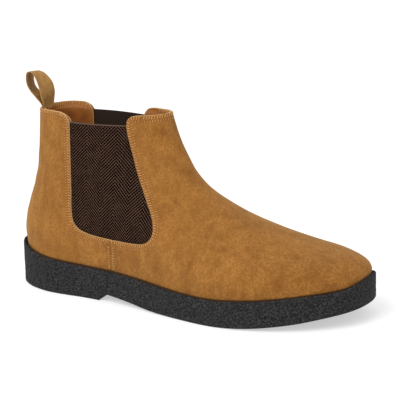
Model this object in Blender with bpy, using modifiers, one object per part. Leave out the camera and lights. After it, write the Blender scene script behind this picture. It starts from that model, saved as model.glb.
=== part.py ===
"""Chelsea boot, right foot, EU 42: a suede upper with two elastic gores on a moulded crepe-look sole.

+X points to the toe, +Y to the inner (medial) side, +Z up; the floor is z = 0 and the origin is the middle
of the sole's length. Sizes are written in millimetres and turned into Blender's metres by MM.

The upper is described by rings. Ring t = 0 is the feather line, where the upper leaves the sole, and ring
t = 1 is the topline. Each ring runs from the back seam to the ridge over the instep and home again.
"""

from math import cos, pi, radians, sin

import bmesh
import bpy
import numpy as np
from mathutils import Matrix

MM = 0.001

# Driving sizes, in millimetres
SOLE_LENGTH = 300.0
LEDGE = 3.5            # width of the sole's rim outside the upper
CUP_DEPTH = 8.0        # how far the upper sits down inside the sole's rim
FIT_GAP = 0.3          # clearance between neighbouring pieces
TOE_SWING = 3.0        # how far the toe leans to the medial side
LEATHER = 1.4
STIFFENER = 1.3        # gores, heel counter and toe puff share the layer between leather and lining
LINING = 1.0
LASTING_MARGIN = 13.0  # width of the flange that is turned in under the insole board
BOARD = 2.0
FOAM = 3.5
SOCK = 1.0
GORE_UNDERLAP = 8.0    # how far the elastic runs under the leather round the window
GORE_TOP = {"lateral": 139.4, "medial": 140.8}
SEAM_X = -52.5         # side seam under the gore
# The rear of the shaft opens about an axis at the gore's lower rear corner, and the leather behind that
# corner creases. The creasing stretch is a wedge between the lower and upper parts of the quarters.
SHAFT_AXIS_X, SHAFT_AXIS_Z = -92.0, 61.0
OPENING_ANGLE = radians(10)
WEDGE_FOOT_Z = 57.0    # the wedge's lower edge at the back, just above the heel counter
FILLER_REACH = (-8, 125)
SHANK_REACH = (-112, -14)
SHANK_WIDTH = 15.0
SHANK = 1.2
SHANK_LOW = 1.6
STRAP_WIDTH = 20.0
STRAP = 0.8
LOOP_ROOT_Z = 149.6    # the loop bends here, just above the topline
LOOP_AXIS_X = -124.5
TAIL_GAP = 2.0         # room for the loop's root to turn above the sewn-in ends
TAIL_END_Z = 118.0
HEEL_BREAST_X = -66.0
HEEL_BREAST_HEIGHT = 6.3

# Outline of the sole: share of the length from the heel, half-width factor (see half_ellipse)
SOLE_LATERAL = [(0, 55), (0.10, 50), (0.233, 40.8), (0.383, 44.2), (0.533, 54.6), (0.65, 64.2),
                (0.75, 69), (0.85, 72), (0.95, 76.5), (1, 85)]
SOLE_MEDIAL = [(0, 55), (0.10, 50.8), (0.233, 37.8), (0.367, 35.3), (0.5, 39), (0.633, 47.5),
               (0.75, 55.7), (0.85, 62), (1, 74)]
TOPLINE_OVAL = [(0, 31), (0.3, 24), (0.5, 22.5), (0.75, 20), (1, 22)]
# Heights along the sole: x, z
RIM_TOP = [(-150, 35.5), (-134, 31), (-100, 27.2), (-40, 25), (30, 20.6), (90, 24.6), (112, 27.3),
           (130, 29), (142, 31.3), (150, 35.2)]
WAIST_AND_TOE = [(-61, HEEL_BREAST_HEIGHT), (-41, 4.3), (-16, 1), (8, 0.1), (22, 0), (42, 0), (60, 0.6),
                 (100, 4.9), (128, 9.8), (150, 13.7)]
# Side profiles: t, x, z
BACK_PROFILE = [(0, -146.2, 34.5), (0.1, -147.8, 44), (0.2, -146.6, 54), (0.35, -141.6, 71),
                (0.5, -135.8, 88), (0.66, -132.4, 106), (0.85, -130.2, 129), (1, -128.8, 150)]
RIDGE = [(0, 146.2, 36.6), (0.06, 147, 41), (0.11, 143.6, 45.4), (0.17, 134, 49.2), (0.25, 114, 52.7),
         (0.35, 82, 60.1), (0.43, 56, 68.4), (0.5, 35, 77.6), (0.58, 18, 88), (0.66, 6, 100.5),
         (0.75, -1.5, 113), (0.85, -8, 127), (1, -16, 153)]
# Share of the way from the sole's outline to the topline's oval: t, at the heel, at the toe
NARROWING = [(0, 0, 0), (0.1, -0.02, 0.04), (0.2, 0.04, 0.2), (0.35, 0.25, 0.5), (0.5, 0.55, 0.74),
             (0.66, 0.8, 0.88), (0.85, 0.95, 0.97), (1, 1, 1)]
SAG_ENDS = 0.5         # the feather line's own curve has faded out at this ring

# Edges of the leather panels in the side view: x, z
GORE_REAR = [(-93.4, 160), (-93.4, 140), (-93.4, 114), (-92.5, 84), (-91.7, 67.5)]
GORE_FOOT = [(-89.9, 60), (-85.6, 55.6), (-77, 52.6), (-65, 51.4), (-52, 51.1), (-42, 51.2), (-31.5, 51.6),
             (-23.2, 52.8), (-18, 55.4), (-14.8, 59.5), (-13.9, 63.5)]
GORE_FRONT = [(-14.9, 68.5), (-18, 75), (-23.7, 83.5), (-29.8, 94), (-35, 105), (-39.4, 117.5), (-42.8, 128),
              (-44.4, 134), (-45.1, 139)]
VAMP_TOP = [(-44.7, 143), (-42.1, 146), (-38, 147.1), (-28.5, 147.6), (-16, 148.6), (0, 149.4)]
QUARTER_TOP = [(-150, 145), (-130, 145.2), (-122, 146), (-116, 146.5), (-108, 146.6), (-101, 146),
               (-96.4, 143.6), (-94, 140.6)]

# Edges of the pull loop in the side view, from its outer root over the top to its inner root: x, z
LOOP_NEAR_EDGE = [(-125.2, LOOP_ROOT_Z), (-129.2, 153.6), (-133.6, 158.2), (-136.6, 163), (-137.5, 168.5),
                  (-136.2, 173.6), (-133.4, 174.4), (-130.2, 171.5), (-127.5, 166.1), (-125.6, 160),
                  (-124.6, 155), (-123.8, LOOP_ROOT_Z)]
LOOP_FAR_EDGE = [(-125.2, LOOP_ROOT_Z), (-131, 151.8), (-137.3, 154.8), (-141, 158.5), (-142.2, 163),
                 (-141.8, 167.6), (-138.8, 170.8), (-133.5, 170.2), (-128.6, 166.8), (-125, 162.2),
                 (-123.6, 157), (-123.8, LOOP_ROOT_Z)]

COLUMNS = 26           # points along each half of a ring
RING_LEVELS = [0, 0.04, 0.08, 0.13, 0.19, 0.26, 0.34, 0.42, 0.5, 0.58, 0.66, 0.75, 0.85, 1]

BACK_SEAM_Y = 6.0      # the back seam stands off the middle of the sole's width

SUEDE = ("suede", (0.42, 0.2, 0.06), 0.95, 0)
ELASTIC = ("elastic", (0.03, 0.017, 0.014), 0.8, 0)
LINING_LEATHER = ("lining_leather", (0.3, 0.13, 0.04), 0.7, 0)
WEBBING = ("webbing", (0.4, 0.22, 0.08), 0.85, 0)
RUBBER = ("crepe_rubber", (0.02, 0.02, 0.021), 0.8, 0)
FIBREBOARD = ("fibreboard", (0.3, 0.22, 0.14), 0.9, 0)
CORK = ("cork", (0.35, 0.2, 0.1), 0.95, 0)
STEEL = ("spring_steel", (0.55, 0.56, 0.58), 0.35, 1)
FOAM_GREY = ("foam", (0.5, 0.48, 0.44), 0.9, 0)


def spline(knots, at):
    """Smooth curve through knots (parameter, value, ...) evaluated at the parameters in at."""
    knots = np.asarray(knots, float)
    u, v = knots[:, 0], knots[:, 1:]
    at = np.clip(np.asarray(at, float), u[0], u[-1])
    step = np.diff(u)[:, None]
    slope = np.diff(v, axis=0) / step
    tangent = np.empty_like(v)
    tangent[1:-1] = (slope[:-1] * step[1:] + slope[1:] * step[:-1]) / (step[:-1] + step[1:])
    tangent[0] = 1.5 * slope[0] - 0.5 * tangent[1]
    tangent[-1] = 1.5 * slope[-1] - 0.5 * tangent[-2]
    i = np.clip(np.searchsorted(u, at, side="right") - 1, 0, len(u) - 2)
    h = step[i]
    s = ((at - u[i]) / h[:, 0])[:, None]
    value = ((2 * s**3 - 3 * s**2 + 1) * v[i] + (s**3 - 2 * s**2 + s) * h * tangent[i]
             + (3 * s**2 - 2 * s**3) * v[i + 1] + (s**3 - s**2) * h * tangent[i + 1])
    return value[:, 0] if value.shape[1] == 1 else value


def smoothstep(x):
    x = np.clip(x, 0, 1)
    return x * x * (3 - 2 * x)


def foot_axis(x):
    """The foot's centreline, which swings to the medial side towards the toe."""
    return BACK_SEAM_Y + TOE_SWING * np.clip(x / (SOLE_LENGTH / 2), 0, 1) ** 2


def ring_angles():
    """Angles of one half ring, 0 at the back and pi at the toe, with columns at the heel breast."""
    angles = np.linspace(0, pi, COLUMNS)
    for x in (HEEL_BREAST_X, WAIST_AND_TOE[0][0]):
        wanted = np.arccos(-x / (SOLE_LENGTH / 2))
        angles[np.argmin(abs(angles - wanted))] = wanted
    return angles


ANGLES = ring_angles()
SHARE = (1 - np.cos(ANGLES)) / 2        # share of the ring's length from its back end
# A whole ring: lateral half from back to toe, then the medial half home again without its two ends
SIDE = np.r_[-np.ones(COLUMNS), np.ones(COLUMNS - 2)]
RING_SHARE = np.r_[SHARE, SHARE[-2:0:-1]]
RING_SINE = np.r_[np.sin(ANGLES), np.sin(ANGLES)[-2:0:-1]]


def outward(ring):
    """Unit normals of a closed plan outline, pointing out."""
    along = np.roll(ring, -1, axis=0) - np.roll(ring, 1, axis=0)
    normal = np.stack([along[:, 1], -along[:, 0]], axis=1)
    return normal / np.linalg.norm(normal, axis=1)[:, None]


def sole_outline(inset):
    """Plan outline of the sole, moved in by inset."""
    x = SOLE_LENGTH * (RING_SHARE - 0.5)
    factor = np.where(SIDE < 0, spline(SOLE_LATERAL, RING_SHARE), spline(SOLE_MEDIAL, RING_SHARE))
    ring = np.stack([x, foot_axis(x) + SIDE * factor * RING_SINE], axis=1)
    return ring - inset * outward(ring)


def rim_height(x):
    return spline(RIM_TOP, x)


def sole_ring(inset, above_cup):
    """Ring at a height above the floor of the sole's cup."""
    plan = sole_outline(inset)
    return np.c_[plan, rim_height(plan[:, 0]) - CUP_DEPTH + above_cup]


def upper_ring(t):
    """Ring t of the upper's outer face."""
    feather = sole_outline(LEDGE + FIT_GAP)
    back, front = spline(BACK_PROFILE, [t])[0], spline(RIDGE, [t])[0]
    x = back[0] + (front[0] - back[0]) * RING_SHARE
    at_heel, at_toe = spline(NARROWING, [t])[0]
    narrow = at_heel + (at_toe - at_heel) * smoothstep(RING_SHARE)
    half_width = abs(feather[:, 1] - foot_axis(feather[:, 0]))
    oval = spline(TOPLINE_OVAL, RING_SHARE) * RING_SINE
    y = foot_axis(x) + SIDE * (half_width + (oval - half_width) * narrow)
    first, last = BACK_PROFILE[0][2], RIDGE[0][2]
    sag = rim_height(feather[:, 0]) - first - (last - first) * RING_SHARE
    z = back[1] + (front[1] - back[1]) * RING_SHARE + sag * max(0, 1 - t / SAG_ENDS) ** 2
    if t == 0:
        x = feather[:, 0]
    return np.stack([x, y, z], axis=1)


WALL = np.array([upper_ring(t) for t in RING_LEVELS])


def wall_normals():
    """Outward unit normals at the points of WALL."""
    along = np.roll(WALL, -1, axis=1) - np.roll(WALL, 1, axis=1)
    up = np.gradient(WALL, axis=0)
    normal = np.cross(along, up)
    normal[0, :, 2] = 0
    return normal / np.linalg.norm(normal, axis=2)[:, :, None]


WALL_NORMALS = wall_normals()


def layer_rings(depth, with_margin):
    """Rings of the face that lies depth inside the upper's outer face, from the bottom up."""
    rings = list(WALL - depth * WALL_NORMALS)
    low = sole_ring(LEDGE + FIT_GAP + depth, FIT_GAP + depth)
    if with_margin:
        return [sole_ring(LEDGE + LASTING_MARGIN, FIT_GAP + depth), low] + rings
    return [low + [0, 0, 2]] + rings


def clear_scene():
    for obj in list(bpy.data.objects):
        bpy.data.objects.remove(obj)


def material(look):
    name, colour, roughness, metallic = look
    found = bpy.data.materials.get(name)
    if found:
        return found
    made = bpy.data.materials.new(name)
    made.use_nodes = True
    shader = made.node_tree.nodes["Principled BSDF"]
    shader.inputs["Base Color"].default_value = (*colour, 1)
    shader.inputs["Roughness"].default_value = roughness
    shader.inputs["Metallic"].default_value = metallic
    return made


def collection(name):
    made = bpy.data.collections.new(name)
    bpy.context.scene.collection.children.link(made)
    return made


def mesh_object(name, points, faces, look=None, group=None):
    """An object from points in millimetres."""
    mesh = bpy.data.meshes.new(name)
    mesh.from_pydata((np.asarray(points) * MM).tolist(), [], faces)
    mesh.validate()
    obj = bpy.data.objects.new(name, mesh)
    (group or bpy.context.scene.collection).objects.link(obj)
    if look:
        mesh.materials.append(material(look))
    return obj


def face_outwards(obj):
    work = bmesh.new()
    work.from_mesh(obj.data)
    bmesh.ops.recalc_face_normals(work, faces=work.faces)
    work.to_mesh(obj.data)
    work.free()


def ring_faces(first, second, count):
    """Quads between two rings that start at these point numbers."""
    return [(first + j, first + (j + 1) % count, second + (j + 1) % count, second + j) for j in range(count)]


def plate_faces(start, flip):
    """Strips from the lateral to the medial half of one ring, which close it like a lid."""
    count = 2 * COLUMNS - 2
    faces = []
    for i in range(COLUMNS - 1):
        quad = [start + i, start + i + 1, start + (count - i - 1) % count, start + (count - i) % count]
        quad = list(dict.fromkeys(quad))
        faces.append(tuple(reversed(quad)) if flip else tuple(quad))
    return faces


def plate(name, rings, look, group):
    """A closed solid from a stack of rings, lidded at both ends."""
    count = 2 * COLUMNS - 2
    faces = []
    for i in range(len(rings) - 1):
        faces += ring_faces(i * count, (i + 1) * count, count)
    faces += plate_faces(0, True) + plate_faces((len(rings) - 1) * count, False)
    obj = mesh_object(name, np.vstack(rings), faces, look, group)
    face_outwards(obj)
    return obj


def sleeve(name, outer, inner):
    """A closed shell between two stacks of rings, open at the top and bottom."""
    count, levels = 2 * COLUMNS - 2, len(outer)
    faces = []
    for i in range(levels - 1):
        faces += ring_faces(i * count, (i + 1) * count, count)
        faces += ring_faces((levels + i + 1) * count, (levels + i) * count, count)
    faces += ring_faces(levels * count, 0, count)
    faces += ring_faces((levels - 1) * count, (2 * levels - 1) * count, count)
    obj = mesh_object(name, np.vstack(list(outer) + list(inner)), faces)
    face_outwards(obj)
    return obj


def prism(name, outline, y_from, y_to):
    """A cutter: a flat outline in the side view, as thick as y_from to y_to."""
    curve = bpy.data.curves.new(name, "CURVE")
    curve.dimensions = "2D"
    curve.fill_mode = "BOTH"
    curve.extrude = (y_to - y_from) / 2 * MM
    line = curve.splines.new("POLY")
    line.points.add(len(outline) - 1)
    for point, (x, z) in zip(line.points, outline):
        point.co = (x * MM, z * MM, 0, 1)
    line.use_cyclic_u = True
    flat = bpy.data.objects.new(name, curve)
    flat.rotation_euler = (pi / 2, 0, 0)
    flat.location = (0, (y_from + y_to) / 2 * MM, 0)
    bpy.context.scene.collection.objects.link(flat)
    bpy.context.view_layer.update()
    mesh = bpy.data.meshes.new_from_object(flat.evaluated_get(bpy.context.evaluated_depsgraph_get()))
    work = bmesh.new()
    work.from_mesh(mesh)
    bmesh.ops.remove_doubles(work, verts=work.verts, dist=0.0001 * MM)
    bmesh.ops.recalc_face_normals(work, faces=work.faces)
    work.to_mesh(mesh)
    work.free()
    solid = bpy.data.objects.new(name, mesh)
    solid.matrix_world = flat.matrix_world.copy()
    bpy.data.objects.remove(flat)
    CUTTERS.objects.link(solid)
    solid.hide_render = True
    solid.display_type = "WIRE"
    return solid


def panel(name, layer, outline, look, y_from=-100, y_to=100):
    """The part of a layer that lies inside an outline drawn in the side view."""
    cutter = prism("outline_" + name, outline, y_from, y_to)
    obj = bpy.data.objects.new(name, layer.data.copy())
    obj.data.materials.append(material(look))
    BOOT.objects.link(obj)
    cut = obj.modifiers.new("outline", "BOOLEAN")
    cut.operation = "INTERSECT"
    cut.object = cutter
    return obj


def offset_outline(points, distance):
    """An open line in the side view, moved to its left by distance."""
    line = np.asarray(points, float)
    along = np.gradient(line, axis=0)
    along /= np.linalg.norm(along, axis=1)[:, None]
    return [tuple(p) for p in line + distance * np.stack([-along[:, 1], along[:, 0]], axis=1)]


def smooth_line(points, count):
    """count points along a smooth curve through the given ones."""
    points = np.asarray(points, float)
    travel = np.r_[0, np.cumsum(np.linalg.norm(np.diff(points, axis=0), axis=1))]
    return [tuple(p) for p in spline(np.c_[travel, points], np.linspace(0, travel[-1], count))]


def mix(line, share, lift):
    """A point part of the way along a straight line, lifted a little."""
    (x0, z0), (x1, z1) = line
    return x0 + (x1 - x0) * share, z0 + (z1 - z0) * share + lift


def panel_outlines():
    """Outlines of the leather panels in the side view, by name."""
    window = smooth_line(GORE_REAR + GORE_FOOT + GORE_FRONT, 46)
    window = offset_outline(window, -FIT_GAP / 2)
    lowest = min(range(len(window)), key=lambda i: abs(window[i][0] - SEAM_X))
    top_front = smooth_line(VAMP_TOP, 10)
    top_back = smooth_line(QUARTER_TOP, 12)
    rear_edge, front_edge = window[:lowest], window[lowest:]
    front_edge = [p for p in front_edge if p[1] < VAMP_TOP[0][1] - 1]
    gap = FIT_GAP / 2
    above = [p for p in rear_edge if SHAFT_AXIS_Z + FIT_GAP < p[1] < QUARTER_TOP[-1][1]]
    below = [p for p in rear_edge if p[1] < SHAFT_AXIS_Z - FIT_GAP]
    apex_x = (above[-1][0] + below[0][0]) / 2
    behind = -170
    rise = (apex_x - behind) * np.tan(OPENING_ANGLE + radians(0.6))
    foot = [(behind, WEDGE_FOOT_Z - gap), (apex_x, SHAFT_AXIS_Z - gap)]
    roof = [(behind, SHAFT_AXIS_Z + gap + rise), (apex_x, SHAFT_AXIS_Z + gap)]
    blunt = 0.04
    return {
        "vamp": [(SEAM_X + gap, -20), (SEAM_X + gap, front_edge[0][1])] + front_edge[1:] + top_front
        + [(200, 155), (200, -20)],
        "quarter_lower": [(behind, -20)] + foot + below + [(SEAM_X - gap, below[-1][1]), (SEAM_X - gap, -20)],
        "quarter_fold": [(behind, foot[0][1] + FIT_GAP), mix(foot, 1 - blunt, FIT_GAP),
                         mix(roof, 1 - blunt, -FIT_GAP), (behind, roof[0][1] - FIT_GAP)],
        "quarter_upper": [roof[1], roof[0], (behind, QUARTER_TOP[0][1])] + top_back[1:] + above,
    }


def gore_outline(top):
    """The elastic: the window plus the underlap, straight across the top."""
    window = smooth_line(GORE_REAR[1:] + GORE_FOOT + GORE_FRONT, 34)
    wide = offset_outline(window, -GORE_UNDERLAP)
    sides = [p for p in wide if p[1] < top]
    return [(sides[0][0], top)] + sides + [(sides[-1][0], top)]


def make_upper():
    middle_depth = LEATHER + FIT_GAP
    lining_depth = middle_depth + STIFFENER + FIT_GAP
    leather = sleeve("leather_layer", layer_rings(0, True), layer_rings(LEATHER, True))
    middle = sleeve("middle_layer", layer_rings(middle_depth, False),
                    layer_rings(middle_depth + STIFFENER, False))
    lining = sleeve("lining_layer", layer_rings(lining_depth, True), layer_rings(lining_depth + LINING, True))
    outlines = panel_outlines()
    gap = FIT_GAP / 2
    panel("vamp", leather, outlines["vamp"], SUEDE)
    for side, y_from, y_to in (("lateral", -100, BACK_SEAM_Y - gap), ("medial", BACK_SEAM_Y + gap, 100)):
        for part in ("lower", "fold", "upper"):
            panel(f"quarter_{side}_{part}", leather, outlines["quarter_" + part], SUEDE, y_from, y_to)
        panel(f"gore_{side}", middle, gore_outline(GORE_TOP[side]), ELASTIC, y_from, y_to)
    panel("vamp_lining", lining, outlines["vamp"], LINING_LEATHER)
    for part in ("lower", "fold", "upper"):
        panel("quarter_lining_" + part, lining, outlines["quarter_" + part], LINING_LEATHER)
    counter_top = WEDGE_FOOT_Z - 1
    counter = [(-170, -20), (-170, counter_top), (-114, counter_top), (-106, 53), (-100, 45), (-78, 38),
               (-70, 32), (-70, -20)]
    panel("heel_counter", middle, counter, FIBREBOARD)
    tails_top = LOOP_ROOT_Z - TAIL_GAP
    tails = [(-170, TAIL_END_Z), (-170, tails_top), (-100, tails_top), (-100, TAIL_END_Z)]
    half_strap = STRAP_WIDTH / 2
    panel("pull_loop_tails", middle, tails, WEBBING, BACK_SEAM_Y - half_strap, BACK_SEAM_Y + half_strap)
    panel("toe_puff", middle, [(98, -20), (104, 80), (200, 80), (200, -20)], FIBREBOARD)
    for layer in (leather, middle, lining):
        bpy.data.objects.remove(layer)


def sole_bottom(x):
    """Height of the underside: the flat heel, the slanted breast, the waist and the toe spring."""
    breast = np.interp(x, [HEEL_BREAST_X, WAIST_AND_TOE[0][0]], [0, HEEL_BREAST_HEIGHT])
    return np.where(x < WAIST_AND_TOE[0][0], breast, np.maximum(0, spline(WAIST_AND_TOE, x)))


def make_sole():
    """The moulded sole: a thick block with a rim and a cup for the lasted upper."""
    edge = 1.2
    bottom = sole_bottom(sole_outline(0)[:, 0])
    rings = [np.c_[sole_outline(edge), bottom], np.c_[sole_outline(0), bottom + edge],
             sole_ring(0, CUP_DEPTH - edge), sole_ring(edge, CUP_DEPTH),
             sole_ring(LEDGE, CUP_DEPTH), sole_ring(LEDGE, 0)]
    plate("outsole", rings, RUBBER, BOOT)


def between(ring, x_from, x_to):
    """Plan outline of a piece that fills a stretch of a ring, rounded at its two ends."""
    x0, x1 = ring[:, 0].min(), ring[:, 0].max()
    x = x_from + (ring[:, 0] - x0) * (x_to - x_from) / (x1 - x0)
    near = np.interp(x, ring[:COLUMNS, 0], ring[:COLUMNS, 1])
    far = np.interp(x, ring[COLUMNS - 1:, 0][::-1], ring[COLUMNS - 1:, 1][::-1])
    middle, half = (near + far) / 2, (far - near) / 2
    y = middle + SIDE * half * np.sqrt(RING_SINE)
    return x, y


def make_inside():
    """What lies on the cup's floor: filler and shank, insole board, foam and sock liner."""
    walls = LEDGE + LEATHER + STIFFENER + LINING + 4 * FIT_GAP
    low = LEATHER + STIFFENER + LINING + 4 * FIT_GAP
    filler_top = low - FIT_GAP
    layers = (("insole_board", BOARD, 0.2, FIBREBOARD), ("footbed_foam", FOAM, 0.6, FOAM_GREY),
              ("sock_liner", SOCK, 1.4, LINING_LEATHER))
    for name, thick, extra, look in layers:
        plate(name, [sole_ring(walls + extra, low), sole_ring(walls + extra, low + thick)], look, BOOT)
        low += thick + FIT_GAP
    hollow = sole_ring(LEDGE + LASTING_MARGIN + 2, 0)
    x, y = between(hollow, *FILLER_REACH)
    base = rim_height(x) - CUP_DEPTH
    plate("forefoot_filler", [np.c_[x, y, base + FIT_GAP], np.c_[x, y, base + filler_top]], CORK, BOOT)
    x, y = between(hollow, *SHANK_REACH)
    y = BACK_SEAM_Y + SIDE * SHANK_WIDTH / 2 * np.minimum(1, RING_SINE * 3)
    base = rim_height(x) - CUP_DEPTH
    plate("shank", [np.c_[x, y, base + up] for up in (SHANK_LOW, SHANK_LOW + SHANK)], STEEL, BOOT)


def make_pull_loop():
    """The heel loop: a tape folded over, with its two ends sewn in between the quarters and the lining."""
    spans = 9
    near = np.array(smooth_line(LOOP_NEAR_EDGE, 30))
    far = np.array(smooth_line(LOOP_FAR_EDGE, 30))
    points = []
    for across in np.linspace(-1, 1, spans):
        line = near * (1 - across) / 2 + far * (1 + across) / 2
        y = np.full(len(line), BACK_SEAM_Y + across * STRAP_WIDTH / 2)
        points.append(np.stack([line[:, 0], y, line[:, 1]], axis=1))
    count = len(near)
    faces = [(i * count + j, (i + 1) * count + j, (i + 1) * count + j + 1, i * count + j + 1)
             for i in range(spans - 1) for j in range(count - 1)]
    tape = mesh_object("pull_loop", np.vstack(points), faces, WEBBING, BOOT)
    tape.data.set_sharp_from_angle(angle=radians(40))
    thick = tape.modifiers.new("tape", "SOLIDIFY")
    thick.thickness = STRAP * MM
    thick.offset = 0


def hinge(name, x, z, movers):
    """An empty on a joint's axis, which runs along Y; the pieces that turn with the joint hang on it."""
    pivot = bpy.data.objects.new(name, None)
    pivot.empty_display_size = 0.02
    pivot.location = (x * MM, BACK_SEAM_Y * MM, z * MM)
    BOOT.objects.link(pivot)
    for mover in movers:
        mover.parent = pivot
        mover.matrix_parent_inverse = Matrix.Translation(-pivot.location)
    return pivot


def make_hinges():
    """The shaft's rear opens backwards, and the pull loop bends at its root."""
    loop_pivot = hinge("pull_loop_axis", LOOP_AXIS_X, LOOP_ROOT_Z, [bpy.data.objects["pull_loop"]])
    names = ("quarter_lateral_upper", "quarter_medial_upper", "quarter_lining_upper", "pull_loop_tails")
    uppers = [bpy.data.objects[name] for name in names]
    hinge("shaft_back_axis", SHAFT_AXIS_X, SHAFT_AXIS_Z, uppers + [loop_pivot])


clear_scene()
CUTTERS = collection("cutters")
BOOT = collection("chelsea_boot")
make_sole()
make_inside()
make_upper()
make_pull_loop()
make_hinges()
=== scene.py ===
"""Looks of the chelsea boot: suede upper, woven gores, stitching, pull tape and stippled sole.

Shapes are worked out in millimetres and turned into Blender's metres by MM. The upper is described by rings:
t = 0 is the feather line, where the upper leaves the sole, and t = 1 the topline. A ring starts at the back
seam (turn 0), runs round the lateral side to the ridge over the instep (turn pi) and home on the medial side.
"""

from math import cos, pi, radians, sin, sqrt

import bmesh
import bpy
import numpy as np
from mathutils import Matrix, Vector, noise


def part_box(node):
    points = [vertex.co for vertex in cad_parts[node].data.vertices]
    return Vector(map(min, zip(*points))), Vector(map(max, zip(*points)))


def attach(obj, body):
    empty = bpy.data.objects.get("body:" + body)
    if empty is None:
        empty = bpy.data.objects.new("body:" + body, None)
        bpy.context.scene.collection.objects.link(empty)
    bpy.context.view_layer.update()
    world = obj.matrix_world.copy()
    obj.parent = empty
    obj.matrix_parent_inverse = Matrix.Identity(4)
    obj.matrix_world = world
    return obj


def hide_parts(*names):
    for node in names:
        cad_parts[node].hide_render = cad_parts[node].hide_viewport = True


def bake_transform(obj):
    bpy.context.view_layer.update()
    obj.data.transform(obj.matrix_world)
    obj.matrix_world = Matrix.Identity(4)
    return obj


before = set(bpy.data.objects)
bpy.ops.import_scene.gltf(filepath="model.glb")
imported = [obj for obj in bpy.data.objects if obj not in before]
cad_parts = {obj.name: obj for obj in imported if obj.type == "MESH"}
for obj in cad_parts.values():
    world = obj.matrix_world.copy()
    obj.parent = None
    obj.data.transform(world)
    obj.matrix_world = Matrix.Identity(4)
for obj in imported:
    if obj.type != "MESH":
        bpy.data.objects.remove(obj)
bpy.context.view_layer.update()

MM = 0.001


def box_mm(node):
    """Lowest and highest corner of a CAD node, in millimetres."""
    low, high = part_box(node)
    return np.array(low) / MM, np.array(high) / MM


SOLE_LOW, SOLE_HIGH = box_mm("outsole")
LENGTH = SOLE_HIGH[0] - SOLE_LOW[0]
TAIL_LOW, TAIL_HIGH = box_mm("pull_loop_tails")
BACK_SEAM_Y = (TAIL_LOW[1] + TAIL_HIGH[1]) / 2
TAPE_WIDTH = TAIL_HIGH[1] - TAIL_LOW[1]
GORE_TOP = {side: box_mm("gore_" + side)[1][2] for side in ("lateral", "medial")}
SOCK_TIP_X = box_mm("sock_liner")[1][0]

# Build of the upper and the sole, as the CAD has it
LEDGE = 3.5  # the upper stands this far inside the sole's outline
FIT_GAP = 0.3
CUP_DEPTH = 8.0  # from the sole's rim down to the floor the upper stands on
SOCK_LIFT = 11.0  # from that floor up to the underside of the sock liner
TOE_SWING = 3.0
LEATHER = 1.3
GORE_DEPTH = 1.6  # the elastic's face lies this far below the leather's
GORE_THICKNESS = 1.1
LINING_DEPTH = 3.2
LINING_THICKNESS = 1.0
SEAM_X = -52.5  # the side seam under the gore
SEAM_GAP = 0.1  # from each panel to the middle of the seam
GORE_UNDERLAP = 8.0

# Knots: the sole's plan and the topline (share of the length, half-width factor), rim and underside (x, z),
# back and ridge of the upper (t, x, z), and how far its rings have narrowed (t, at the back, at the front)
SOLE_LATERAL = [(0, 55), (0.10, 50), (0.233, 40.8), (0.383, 44.2), (0.533, 54.6), (0.65, 64.2),
    (0.75, 69), (0.85, 72), (0.95, 76.5), (1, 85)]
SOLE_MEDIAL = [(0, 55), (0.10, 50.8), (0.233, 37.8), (0.367, 35.3), (0.5, 39), (0.633, 47.5),
    (0.75, 55.7), (0.85, 62), (1, 74)]
TOPLINE_OVAL = [(0, 31), (0.3, 24), (0.5, 22.5), (0.75, 20), (1, 22)]
RIM_TOP = [(-150, 35.5), (-134, 31), (-100, 27.2), (-40, 25), (30, 20.6), (90, 24.6), (112, 27.3),
    (130, 29), (142, 31.3), (150, 35.2)]
HEEL_BREAST_X, WAIST_X, HEEL_BREAST_HEIGHT = -66.0, -61.0, 6.3
WAIST_AND_TOE = [(WAIST_X, HEEL_BREAST_HEIGHT), (-41, 4.3), (-16, 1), (8, 0.1), (22, 0), (42, 0), (60, 0.6),
    (100, 4.9), (128, 9.8), (150, 13.7)]
BACK_PROFILE = [(0, -146.2, 34.5), (0.1, -147.8, 44), (0.2, -146.6, 54), (0.35, -141.6, 71),
    (0.5, -135.8, 88), (0.66, -132.4, 106), (0.85, -130.2, 129), (1, -128.8, 150)]
RIDGE = [(0, 146.2, 36.6), (0.06, 147, 41), (0.11, 143.6, 45.4), (0.17, 134, 49.2), (0.25, 114, 52.7),
    (0.35, 82, 60.1), (0.43, 56, 68.4), (0.5, 35, 77.6), (0.58, 18, 88), (0.66, 6, 100.5),
    (0.75, -1.5, 113), (0.85, -8, 127), (1, -16, 153)]
NARROWING = [(0, 0, 0), (0.1, -0.02, 0.04), (0.2, 0.04, 0.2), (0.35, 0.25, 0.5), (0.5, 0.55, 0.74),
    (0.66, 0.8, 0.88), (0.85, 0.95, 0.97), (1, 1, 1)]
SAG_ENDS = 0.5  # above this ring the dip of the sole's rim no longer shows
FEATHER_ENDS = 0.04  # above this ring the feather line's exact plan has given way to the rings' own
SKIRT = 100.0  # below the feather line the wall drops straight down, this much for each unit of t

# Side-view lines of the panels and of the tape's two edges (x, z)
GORE_REAR = [(-93.4, 160), (-93.4, 140), (-93.4, 114), (-92.5, 84), (-91.7, 67.5)]
GORE_FOOT = [(-89.9, 60), (-85.6, 55.6), (-77, 52.6), (-65, 51.4), (-52, 51.1), (-42, 51.2), (-31.5, 51.6),
    (-23.2, 52.8), (-18, 55.4), (-14.8, 59.5), (-13.9, 63.5)]
GORE_FRONT = [(-14.9, 68.5), (-18, 75), (-23.7, 83.5), (-29.8, 94), (-35, 105), (-39.4, 117.5), (-42.8, 128),
    (-44.4, 134), (-45.1, 139)]
VAMP_TOP = [(-44.7, 143), (-42.1, 146), (-38, 147.1), (-28.5, 147.6), (-16, 148.6), (0, 149.4)]
QUARTER_TOP = [(-150, 145), (-130, 145.2), (-122, 146), (-116, 146.5), (-108, 146.6), (-101, 146),
    (-96.4, 143.6), (-94, 140.6)]

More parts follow.
